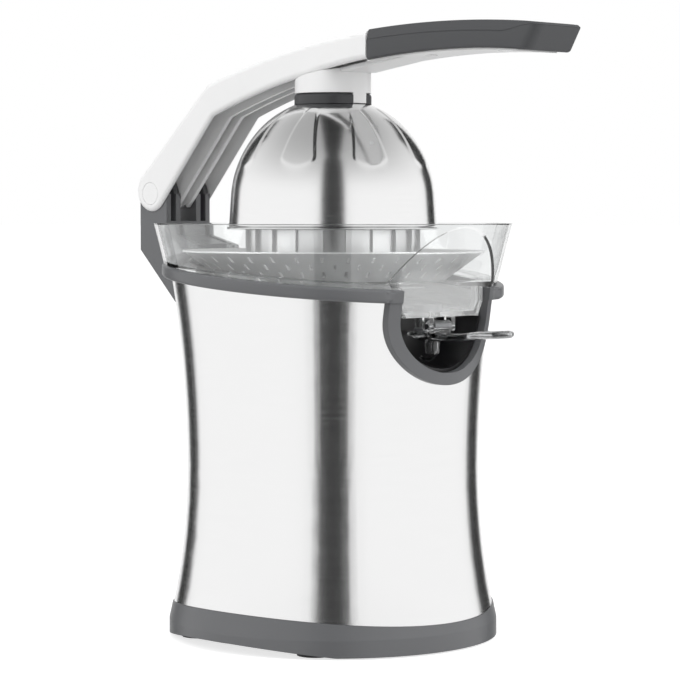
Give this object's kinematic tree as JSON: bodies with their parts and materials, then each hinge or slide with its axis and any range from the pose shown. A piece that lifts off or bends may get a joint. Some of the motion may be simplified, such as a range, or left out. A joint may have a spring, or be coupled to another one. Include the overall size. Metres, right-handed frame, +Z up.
{
  "type": "citrus press juicer",
  "caption": "Electric citrus press: waisted steel body, clear bowl with spout and drip stop, ribbed reamer, lever arm with pressing dome.",
  "frame": {"origin": "on the worktop, under the spindle axis", "axes": "+Z up along the spindle, -Y towards the spout and grip, +X to the right when facing the spout from behind"},
  "size_m": [0.1999, 0.3069, 0.337],
  "materials": {
    "brushed_stainless": "brushed, satin",
    "bright_steel": "machined",
    "grey_abs": "moulded, fine texture",
    "black_abs": "moulded, fine texture",
    "black_rubber": "moulded",
    "grey_silicone": "moulded",
    "clear_plastic": "clear, glossy",
    "white_arm": "satin silver-white",
    "soft_grip": "soft-touch",
    "polished_steel": "pressed, polished",
    "die_cast": "as cast",
    "sintered_bronze": "sintered",
    "lamination_steel": "stacked laminations",
    "copper_winding": "enamelled wire",
    "gear_nylon": "moulded nylon"
  },
  "bodies": {
    "housing": {"base_tray": "grey_abs", "rubber_feet": "black_rubber", "cord_grommet": "black_rubber", "tie_rods": "bright_steel", "body_shell": "brushed_stainless", "top_collar": "grey_abs", "recess_liner": "black_abs", "bowl_deck": "die_cast", "shaft_seal": "black_rubber", "hinge_bracket": "grey_abs", "bracket_screws": "bright_steel", "motor_mount": "black_rubber", "motor_can": "bright_steel", "motor_end_bell": "die_cast", "stator_core": "lamination_steel", "field_coils": "copper_winding", "gear_plate": "die_cast", "lower_bush": "sintered_bronze", "gear_cover": "die_cast", "gear_screws": "bright_steel", "idler_axle": "bright_steel", "return_spring": "bright_steel", "switch_case": "black_abs", "juice_bowl": "clear_plastic", "lever_pin": "bright_steel", "outlet_seal": "grey_silicone", "strainer": "brushed_stainless"},
    "arm": {"arm_frame": "white_arm", "hinge_pin": "bright_steel", "pin_caps": "white_arm", "grip": "soft_grip", "grip_screws": "bright_steel", "dome_shell": "brushed_stainless", "dome_hub": "grey_abs", "dome_screw": "bright_steel"},
    "press_collar": {"thrust_bush": "sintered_bronze", "retaining_ring": "bright_steel"},
    "spindle": {"spindle_shaft": "bright_steel", "drive_pin": "bright_steel", "output_gear": "gear_nylon", "reamer": "polished_steel"},
    "idler": {"idler_gear": "gear_nylon"},
    "rotor": {"motor_shaft": "bright_steel", "motor_pinion": "bright_steel", "rotor_core": "lamination_steel", "cooling_fan": "black_abs"},
    "start_plunger": {"switch_plunger": "black_abs"},
    "drip_stop": {"drip_lever": "clear_plastic", "valve_plug": "grey_silicone"}
  },
  "joints": [
    {"name": "arm_lift", "type": "hinge", "parent": "housing", "child": "arm", "pos_m": [0, 0.131, 0.2471], "axis": [-1, 0, 0], "range_deg": [0, 80]},
    {"name": "press", "type": "slide", "parent": "housing", "child": "press_collar", "axis": [0, 0, 1], "range_m": [-0.003, 0], "stiffness_N_per_m": 3000, "springref_m": 0.005, "deforming": ["return_spring"]},
    {"name": "spindle_spin", "type": "hinge", "parent": "press_collar", "child": "spindle", "pos_m": [0, 0, 0], "axis": [0, 0, 1], "continuous": true},
    {"name": "idler_spin", "type": "hinge", "parent": "housing", "child": "idler", "pos_m": [0, 0.04375, 0], "axis": [0, 0, 1], "continuous": true},
    {"name": "rotor_spin", "type": "hinge", "parent": "housing", "child": "rotor", "pos_m": [0.01656, 0.01873, 0], "axis": [0, 0, 1], "continuous": true},
    {"name": "start_travel", "type": "slide", "parent": "housing", "child": "start_plunger", "axis": [0, 0, 1], "range_m": [-0.003, 0]},
    {"name": "drip_tip", "type": "hinge", "parent": "housing", "child": "drip_stop", "pos_m": [0, -0.08, 0.1751], "axis": [-1, 0, 0], "range_deg": [0, 25]}
  ],
  "couplings": [
    {"joint": "idler_spin", "follows": "spindle_spin", "ratio": -4},
    {"joint": "rotor_spin", "follows": "spindle_spin", "ratio": 16},
    {"joint": "start_travel", "follows": "press", "ratio": 1}
  ]
}
